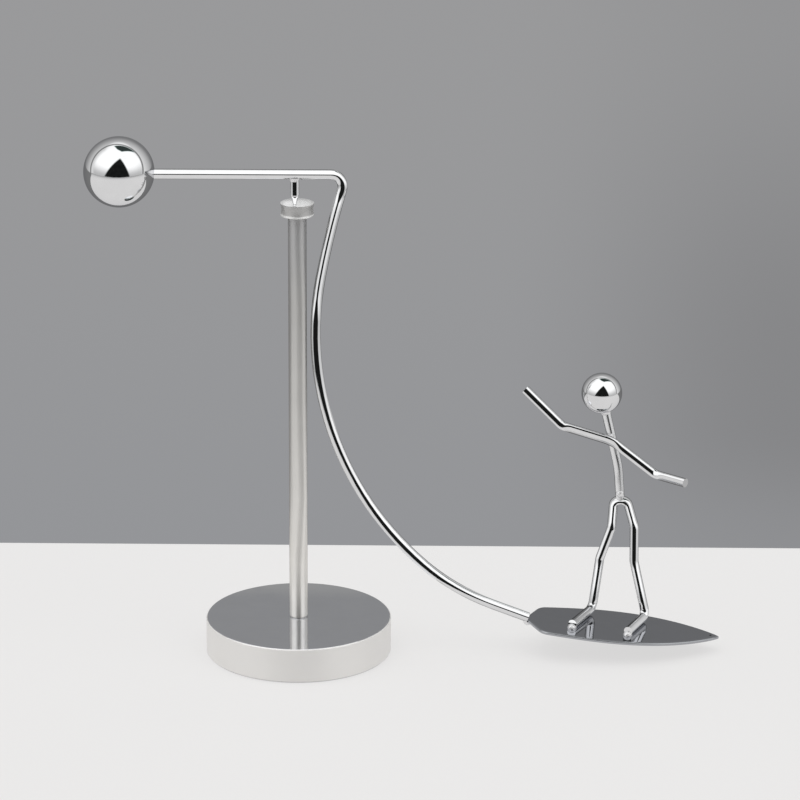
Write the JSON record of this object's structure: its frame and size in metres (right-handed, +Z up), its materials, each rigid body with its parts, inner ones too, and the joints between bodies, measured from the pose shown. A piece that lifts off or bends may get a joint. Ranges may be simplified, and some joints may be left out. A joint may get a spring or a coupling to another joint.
{
  "type": "balancing desk toy",
  "caption": "Balancing desk toy: a wire surfer on a pointed board hangs from a curved rod with a ball counterweight, rocking and spinning on a pin in a dished post cap above a round base.",
  "frame": {"origin": "centre of the flat underside of the foot pad, on the desk, straight below the pivot", "axes": "+X to the right along the level bar, from the counterweight ball to the board; +Y away from the viewer; +Z up"},
  "size_m": [0.204, 0.06, 0.172],
  "materials": {
    "polished_steel": "mirror-polished top, satin turned edge",
    "black_foam": "matt closed-cell foam",
    "polished_rod": "polished rod and turned cap",
    "pin_steel": "polished",
    "chrome_rod": "bright plated wire",
    "chrome_ball": "mirror",
    "chrome_plate": "mirror sheet",
    "weld_bead": "bright plated over a rough solder bead"
  },
  "bodies": {
    "stand": {"base_disc": "polished_steel", "foot_pad": "black_foam", "post": "polished_rod", "post_cap": "polished_rod"},
    "point": {"pivot_point": "pin_steel"},
    "balance": {"pivot_pin": "chrome_rod", "pivot_weld": "weld_bead", "balance_arm": "chrome_rod", "counterweight_ball": "chrome_ball", "surfboard": "chrome_plate", "tail_weld": "weld_bead", "left_foot_weld": "weld_bead", "right_foot_weld": "weld_bead", "leg_wire": "chrome_rod", "hip_weld": "weld_bead", "torso_wire": "chrome_rod", "shoulder_weld": "weld_bead", "arm_wire": "chrome_rod", "neck_weld": "weld_bead", "head_ball": "chrome_ball"}
  },
  "joints": [
    {"name": "spin", "type": "hinge", "parent": "stand", "child": "point", "pos_m": [-0.00075, 0, 0.15038], "axis": [0, 0, 1], "continuous": true},
    {"name": "rock", "type": "hinge", "parent": "point", "child": "balance", "pos_m": [-0.00075, 0, 0.15038], "axis": [0, 1, 0], "range_deg": [-20, 1.3]}
  ]
}
